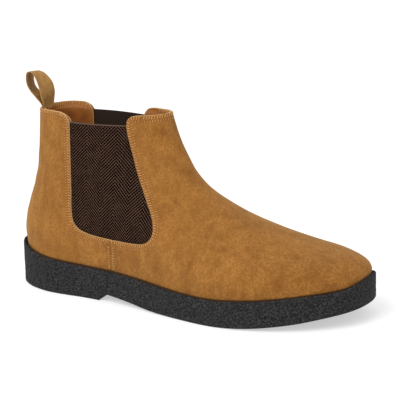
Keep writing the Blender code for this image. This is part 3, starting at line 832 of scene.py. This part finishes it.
def make_quarters():
    for name, side in SIDES.items():
        patch = grid(UPPER_LEVELS, run_of(QUARTER_TURNS, side))
        quarter = sheet("suede_quarter_" + name, patch, edge_of(QUARTER_OUTLINE, side), 0.0, LEATHER,
                        leather_relief, SUEDE)
        dress(quarter, [f"quarter_{name}_{part}" for part in QUARTER_PARTS])
        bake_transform(quarter)
    patch = grid(UPPER_LEVELS, np.r_[-QUARTER_TURNS[:0:-1], QUARTER_TURNS])
    lining = sheet("leather_quarter_lining", patch, edge_of(QUARTER_OUTLINE), lining_depth, LINING_THICKNESS,
                   lining_relief, LINING_LEATHER, lip=0.3)
    dress(lining, ["quarter_lining_" + part for part in QUARTER_PARTS])
    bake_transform(lining)


def make_gores():
    ts = np.linspace(0.05, 1, 90)
    for name, side in SIDES.items():
        patch = grid(ts, run_of(GORE_TURNS, side))
        gore = sheet("elastic_gore_" + name, patch, edge_of(gore_outline(GORE_TOP[name])), GORE_DEPTH,
                     GORE_THICKNESS, elastic_relief, ELASTIC, lip=0.3)
        write_attribute(gore, "below_top", GORE_TOP[name] - points_mm(gore)[:, 2])
        dress(gore, ["gore_" + name])
        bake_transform(gore)


# ---------- stitches

def spaced(t, turn, pitch):
    """Evenly spaced places along a row on the wall: points, normals and tangents."""
    travel = travelled(wall(t, turn))
    at = (np.arange(int(travel[-1] / pitch)) + 0.5) * pitch
    before, here, after = [(np.interp(at + d, travel, t), np.interp(at + d, travel, turn))
                           for d in (-0.3, 0, 0.3)]
    return wall(*here), wall_normal(*here), unit(wall(*after) - wall(*before))


# A stitch from end to end: place along its length, lift and girth in thread radii
STITCH_ARC = ((-1, -0.5, 0.7), (-0.72, 0.35, 1.0), (0, 0.7, 1.1), (0.72, 0.35, 1.0), (1, -0.5, 0.7))


def stroke_mesh(centre, direction, normal, length):
    """One stitch: a thread that dives into the leather at both ends."""
    across = np.cross(normal, direction)
    radius = THREAD * sqrt(length / STITCH_ROWS[0][1])
    sides = 6
    corners = [2 * pi * k / sides for k in range(sides)]
    rings = []
    for along, lift, girth in STITCH_ARC:
        middle = centre + direction * along * length / 2 + normal * lift * radius
        rings.append([middle + radius * girth * (cos(a) * across + sin(a) * normal) for a in corners])
    points, faces = ring_wall(rings, sides)
    last = len(points) - sides
    faces.append(tuple(range(sides)))
    faces.append(tuple(last + k for k in reversed(range(sides))))
    return list(points), faces


def stitch_group(name, rows):
    """All stitches of one panel as one piece; a row is (t, turn, slant, length, through).

    A row that goes through shows on the lining's inner face.
    """
    strokes = []
    for t, turn, slant, length, through in rows:
        base, normals, tangents = spaced(t, turn, STITCH_PITCH)
        depth = lining_depth(base) + LINING_THICKNESS if through else np.full(len(base), STITCH_DIP)
        for centre, normal, tangent in zip(base - normals * depth[:, None], normals, tangents):
            direction = cos(slant) * tangent + sin(slant) * np.cross(normal, tangent)
            strokes.append(stroke_mesh(centre, direction, -normal if through else normal, length))
    piece = mesh_piece(name, *merged(strokes), THREAD_LOOK, 60)
    rework(piece.data)
    return dress(piece)


def edge_row(line, distance, outline, side, keep):
    """(t, turn) of a row that follows a side-view line, distance inside the panel, where keep says so."""
    tolerance = 0.12
    moved = offset_line(line, -distance)
    moved = moved[outside(moved, outline) < tolerance - distance]
    return locate(moved[keep(moved)], side)


def top_row(turns, outline, distance):
    """(t, turn) of a row that follows the topline, distance below it."""
    ts = np.linspace(0.8, 1, 90)
    t, turn = np.meshgrid(ts, turns, indexing="ij")
    value = outside(wall(t.ravel(), turn.ravel())[:, [0, 2]], outline).reshape(t.shape)
    return np.array([np.interp(-distance, value[:, k], ts) for k in range(len(turns))]), turns


def on_vamp_edge(p):
    """Keeps a row on the vamp clear of the side seam and, near the top, of the row along the topline."""
    return (p[:, 0] > SEAM_X + 0.4) & ((p[:, 0] < -32.5) | (p[:, 1] < 138))


def on_quarter_edge(p):
    """The same on a quarter."""
    return (p[:, 0] < SEAM_X - 0.4) & (p[:, 0] > -103)


def make_stitches():
    vamp_rows, quarter_rows = [], {name: [] for name in SIDES}
    front_turns, rear_turns = np.linspace(0.74 * pi, 1.26 * pi, 160), np.linspace(0.03, 0.34 * pi, 90)
    leans = {-1: STITCH_SLANT, 1: pi - STITCH_SLANT}
    for distance, length in STITCH_ROWS:
        front = top_row(front_turns, VAMP_OUTLINE, distance)
        vamp_rows += [(*front, STITCH_SLANT, length, through) for through in (False, True)]
        for name, side in SIDES.items():
            lean = leans[side]
            row = edge_row(VAMP_LINE, distance, VAMP_OUTLINE, side, on_vamp_edge)
            vamp_rows.append((*row, lean, length, False))
            row = edge_row(QUARTER_LINE, distance, QUARTER_OUTLINE, side, on_quarter_edge)
            quarter_rows[name].append((*row, lean, length, False))
            t, turn = top_row(rear_turns, QUARTER_OUTLINE, distance)
            turn = on_side(turn, side)
            quarter_rows[name] += [(t, turn, lean, length, through) for through in (False, True)]
    for name, side in SIDES.items():
        heights = np.linspace(27, REAR_EDGE[-1][1] - 5, 40)
        for (offset, length), rows in zip(SEAM_STITCHES, (vamp_rows, quarter_rows[name])):
            row = locate(np.c_[np.full(40, SEAM_X + offset), heights], side)
            rows.append((*row, leans[side], length, False))
        away, length = BACK_SEAM_STITCH
        back_t = np.linspace(0.02, 0.93, 120)
        quarter_rows[name].append((back_t, np.full(120, on_side(away, side)), pi / 2, length, False))
    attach(stitch_group("stitches_vamp", vamp_rows), "boot")
    for name in SIDES:
        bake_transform(stitch_group("stitches_quarter_" + name, quarter_rows[name]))


# ---------- pull tape

def make_pull_tape():
    """One length of tape: up between leather and lining, round the loop, and back down beside itself."""
    outer_strand, inner_strand = TAPE_STRANDS
    across = np.linspace(-1, 1, 17)
    heights = np.array([TAIL_LOW[2], 124, 130, 136, 142, 146.5])
    rows = 150
    middle = np.empty((rows, len(across), 3))
    for j, v in enumerate(across):
        y = BACK_SEAM_Y + v * TAPE_WIDTH / 2
        place = beside_seam(np.full(len(heights), y), heights)
        base, normal = wall(*place), wall_normal(*place)
        share = (v + 1) / 2
        loop = (1 - share) * np.array(LOOP_NEAR_EDGE) + share * np.array(LOOP_FAR_EDGE)
        loop = np.c_[loop[:, 0], np.full(len(loop), y), loop[:, 1]]
        path = np.vstack([base - outer_strand * normal, loop, (base - inner_strand * normal)[::-1]])
        travel = travelled(path)
        middle[:, j] = spline(np.c_[travel, path], np.linspace(0, travel[-1], rows))
    normal = unit(np.cross(np.gradient(middle, axis=0), np.gradient(middle, axis=1)))
    rounded = 1 - 0.35 * abs(across) ** 12
    half = normal * (TAPE_THICKNESS / 2 * rounded)[None, :, None]
    points = np.vstack([(middle + half).reshape(-1, 3), (middle - half).reshape(-1, 3)])
    wide, count = len(across), rows * len(across)
    face = [(a, d, c, b) for a, b, c, d in quads(rows, wide)]
    tape = mesh_piece("pull_tape", points, closed(face, count), WEBBING)
    rework(tape.data)
    length = np.repeat(np.linspace(0, travel[-1], rows), wide)
    flat = np.c_[length, np.tile(across * TAPE_WIDTH / 2, rows), np.zeros(count)]
    write_attribute(tape, "weave", np.vstack([flat, flat]))
    dress(tape, ["pull_loop", "pull_loop_tails"])
    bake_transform(tape)


# ---------- sole and sock

def sole_bottom(x):
    """Height of the underside: the flat heel, the slanted breast, the waist and the toe spring."""
    breast = np.interp(x, [HEEL_BREAST_X, WAIST_X], [0, HEEL_BREAST_HEIGHT])
    return np.where(x < WAIST_X, breast, np.maximum(0, spline(WAIST_AND_TOE, x)))


def grain(points, sizes_and_depths):
    """Moulded grain: noise that only cuts inwards, summed over several sizes in millimetres."""
    depth = np.zeros(len(points))
    for size, most in sizes_and_depths:
        depth += np.array([most * min(1, max(0, 0.5 + 1.1 * noise.noise(Vector(p) / size))) for p in points])
    return depth


def plan_grid(plan, count, across):
    """Points and quads that fill a plan outline, from its lateral half (v = 0) to its medial (v = 1)."""
    lateral = plan[:count]
    medial = np.vstack([plan[:1], plan[:count - 1:-1], plan[count - 1:count]])
    v = np.linspace(0, 1, across)[None, :, None]
    return (lateral[:, None] * (1 - v) + medial[:, None] * v).reshape(-1, 2), quads(count, across)


def joined(name, parts, look):
    """One piece from parts (points, faces), welded where their borders meet."""
    mesh = mesh_of(name, *merged(parts))
    rework(mesh, weld=True)
    return piece_of(name, mesh, look, 50)


def tread(points, edge_distance):
    """Depth of the wavy grooves under the forefoot and the heel."""
    pitch, swing, swing_length = 9, 2.2, 22
    x, y = points[:, 0], points[:, 1]
    wave = (x + swing * np.sin(y * 2 * pi / swing_length)) % pitch
    groove = smoothstep((1.5 - abs(wave - pitch / 2)) / 0.8)
    forefoot = smoothstep((x - 2) / 4) * smoothstep((128 - x) / 4)
    heel = smoothstep((x + 138) / 4) * smoothstep((HEEL_BREAST_X - 6 - x) / 4)
    return 1.3 * groove * (forefoot + heel) * smoothstep((edge_distance - 7) / 3)


def sole_profile(bottom, top, edge):
    """The sole's side from the underside up, over the rim and down into the cup.

    Each step is (inset, heights, outwards, upwards); the last two say which way the surface faces.
    """
    profile = []
    for a in np.linspace(0, pi / 2, 5):
        profile.append((edge * (1 - sin(a)), bottom + edge * (1 - cos(a)), sin(a), -cos(a)))
    for share in np.linspace(0, 1, 40)[1:-1]:
        profile.append((0.0, bottom + edge + (top - bottom - 2 * edge) * share, 1.0, 0.0))
    for a in np.linspace(0, pi / 2, 5):
        profile.append((edge * (1 - cos(a)), top - edge * (1 - sin(a)), cos(a), sin(a)))
    ledge_drop = 1.6
    for inset in np.linspace(edge, LEDGE, 6)[1:]:
        profile.append((inset, top - ledge_drop * smoothstep((inset - edge) / (LEDGE - edge)), 0.0, 0.5))
    profile.append((LEDGE, top - CUP_DEPTH, 0.0, 0.0))
    return profile


def make_sole():
    half = 480
    turns = whole_turn(half)
    count = len(turns)
    rim = sole_outline(0, turns)
    out = rim - sole_outline(1, turns)
    rings = []
    for inset, z, outwards, upwards in sole_profile(sole_bottom(rim[:, 0]), rim_height(rim[:, 0]), SOLE_EDGE):
        here = np.c_[sole_outline(inset, turns), z]
        cut = grain(here, SOLE_GRAIN) if outwards or upwards > 0 else np.zeros(count)
        rings.append(here - np.c_[out * outwards, np.full(count, upwards)] * cut[:, None])
    border = sole_outline(SOLE_EDGE, turns)
    flat, faces = plan_grid(border, half, 64)
    under = np.c_[flat, sole_bottom(flat[:, 0]) + tread(flat, abs(outside(flat, border[::6])))]
    floor, floor_faces = plan_grid(sole_outline(LEDGE, turns), half, 3)
    cup = np.c_[floor, rim_height(floor[:, 0]) - CUP_DEPTH]
    sole = joined("crepe_sole", [ring_wall(rings, count), (under, faces), (cup, floor_faces)], RUBBER)
    here = points_mm(sole)
    # Marks the ledge beside the upper, near the rim's top, where the rubber paints shade
    near_top = smoothstep((here[:, 2] - rim_height(here[:, 0]) + 2.4) / 0.6)
    ledge = smoothstep((abs(outside(here[:, :2], rim[::3])) - 1.2) / 1.2)
    write_attribute(sole, "ledge", ledge * near_top)
    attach(dress(sole, ["outsole"]), "boot")


def make_sock():
    """The sock liner: thin leather, slightly dished under the heel and the ball."""
    half, thickness = 160, 1.0
    turns = whole_turn(half)
    inset = SOLE_HIGH[0] - SOCK_TIP_X

    def raised(plan, height):
        return np.c_[plan, rim_height(plan[:, 0]) - CUP_DEPTH + SOCK_LIFT + height]

    rings = [raised(sole_outline(inset + more, turns), height)
             for more, height in ((0.0, 0.0), (0.0, 0.6), (0.12, 0.85), (0.4, thickness))]
    flat, faces = plan_grid(rings[-1][:, :2], half, 40)
    dish = 0.5 * smoothstep((abs(outside(flat, rings[-1][::6, :2])) - 2) / 12)
    top = raised(flat, thickness) - np.c_[np.zeros((len(flat), 2)), dish]
    flat, under_faces = plan_grid(rings[0][:, :2], half, 3)
    parts = [ring_wall(rings, len(turns)), (top, faces), (raised(flat, 0.0), under_faces)]
    sock = joined("leather_sock", parts, LINING_LEATHER)
    # Far from any border, so the lining's painted light and pale cut edge leave the sock alone
    write_attribute(sock, "border", np.full(len(sock.data.vertices), 9.0))
    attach(dress(sock, ["sock_liner"]), "boot")


# ---------- studio

def make_studio():
    """A pale floor, an even sky and two large soft lamps."""
    bpy.ops.mesh.primitive_plane_add(size=30, location=(0, 0, 0))
    floor = bpy.context.object
    floor.name = "studio_floor"
    look = Look("studio_floor")
    floor.data.materials.append(look.finish(Base_Color=(0.5, 0.5, 0.5, 1), Roughness=0.9,
                                            Emission_Color=(1, 1, 1, 1), Emission_Strength=0.5))
    world = bpy.data.worlds.new("studio")
    bpy.context.scene.world = world
    world.use_nodes = True
    sky = world.node_tree.nodes["Background"].inputs
    sky["Color"].default_value = (1, 1, 1, 1)
    sky["Strength"].default_value = 0.9
    for name, place, power in (("key", (-0.5, -1.6, 1.9), 39), ("fill", (1.6, -1.0, 1.3), 4)):
        light = bpy.data.lights.new(name, "AREA")
        light.energy, light.size = power, 1.6
        lamp = linked(name, light)
        lamp.location = place
        lamp.rotation_mode = "QUATERNION"
        lamp.rotation_quaternion = (Vector((0, 0, 0.06)) - Vector(place)).to_track_quat("-Z", "Y")
    bpy.context.scene.view_settings.view_transform = "Standard"


def make_camera():
    """The photograph's viewing angle."""
    azimuth, elevation, roll, distance = radians(26), radians(16), radians(-1.5), 1.5
    back = Vector((sin(azimuth) * cos(elevation), -cos(azimuth) * cos(elevation), sin(elevation)))
    right = Vector((cos(azimuth), sin(azimuth), 0))
    turned = Matrix((right, back.cross(right), back)).transposed() @ Matrix.Rotation(roll, 3, "Z")
    data = bpy.data.cameras.new("camera")
    data.sensor_width = 36
    data.lens = 172.9
    data.shift_x, data.shift_y = 0.0222, 0.0293
    camera = linked("camera", data)
    camera.matrix_world = Matrix.Translation(Vector((0, 0.006, 0.07)) + back * distance) @ turned.to_4x4()
    bpy.context.scene.camera = camera


make_vamp()
make_quarters()
make_gores()
make_stitches()
make_pull_tape()
make_sole()
make_sock()
make_studio()
make_camera()
